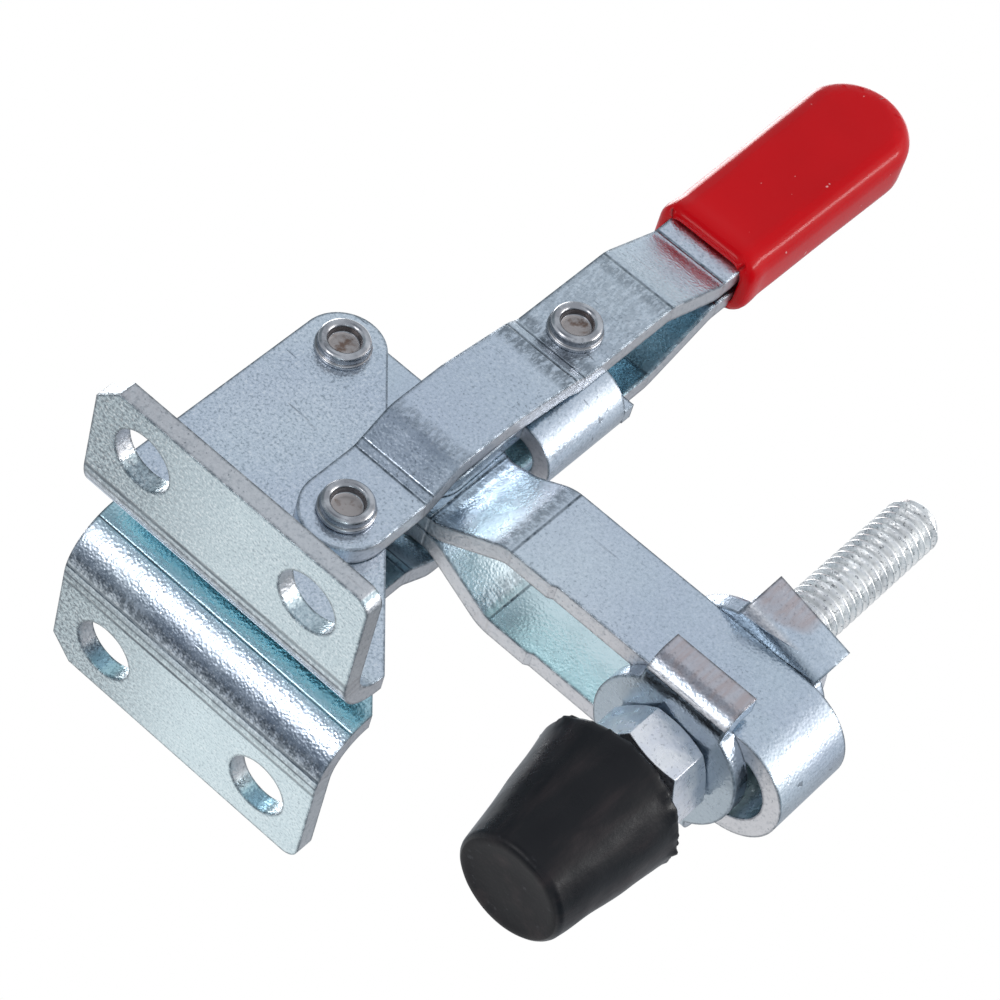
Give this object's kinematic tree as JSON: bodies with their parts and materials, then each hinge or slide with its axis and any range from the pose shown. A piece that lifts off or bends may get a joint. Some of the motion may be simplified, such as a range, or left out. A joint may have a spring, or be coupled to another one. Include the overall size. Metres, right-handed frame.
{
  "type": "toggle clamp",
  "caption": "Vertical-handle toggle clamp with U-shaped arm, adjustable M6 spindle and rubber tip, on a four-hole flanged base.",
  "frame": {"origin": "middle of the four mounting holes on the underside of the base flanges", "axes": "+Z away from the mounting face, up the closed handle; +X from the base towards the spindle; +Y across the clamp"},
  "size_m": [0.0651, 0.0412, 0.1014],
  "materials": {
    "zinc_plate": "bright zinc plate with a blue cast",
    "rivet_steel": "zinc plated, polished on the rolled rim",
    "bush_steel": "turned",
    "nut_steel": "brushed flats",
    "spindle_steel": "zinc plated thread",
    "red_vinyl": "glossy dipped vinyl",
    "black_rubber": "moulded, slight sheen"
  },
  "bodies": {
    "base": {"base_plate_left": "zinc_plate", "base_plate_right": "zinc_plate", "handle_pivot_rivet": "rivet_steel", "handle_pivot_bush": "bush_steel", "arm_pivot_rivet": "rivet_steel", "arm_pivot_bush": "bush_steel"},
    "handle": {"handle_plate_left": "zinc_plate", "handle_plate_right": "zinc_plate", "link_head_rivet": "rivet_steel", "link_head_bush": "bush_steel", "grip": "red_vinyl"},
    "arm": {"arm": "zinc_plate"},
    "link": {"link": "zinc_plate", "link_foot_rivet": "rivet_steel"},
    "carriage": {"lower_flanged_washer": "zinc_plate", "upper_flanged_washer": "zinc_plate", "lower_nut": "nut_steel", "upper_nut": "nut_steel"},
    "spindle": {"spindle_bolt": "spindle_steel", "rubber_tip": "black_rubber"}
  },
  "joints": [
    {"name": "handle_swing", "type": "hinge", "parent": "base", "child": "handle", "pos_m": [0.0022, 0, 0.0156], "axis": [0, -1, 0], "range_deg": [0, 60]},
    {"name": "arm_lift", "type": "hinge", "parent": "base", "child": "arm", "pos_m": [-0.0117, 0, 0.0308], "axis": [0, -1, 0], "range_deg": [0, 97.24]},
    {"name": "link_turn", "type": "hinge", "parent": "arm", "child": "link", "pos_m": [0.0022, 0, 0.0283], "axis": [0, -1, 0], "range_deg": [0, 33.58]},
    {"name": "spindle_slide", "type": "slide", "parent": "arm", "child": "carriage", "axis": [1, 0, 0], "range_m": [-0.009, 0.0065]},
    {"name": "spindle_height", "type": "slide", "parent": "carriage", "child": "spindle", "axis": [0, 0, 1], "range_m": [-0.018, 0.001]}
  ],
  "couplings": [
    {"joint": "arm_lift", "follows": "handle_swing", "ratio": 1.6205},
    {"joint": "link_turn", "follows": "handle_swing", "ratio": 0.55957}
  ]
}
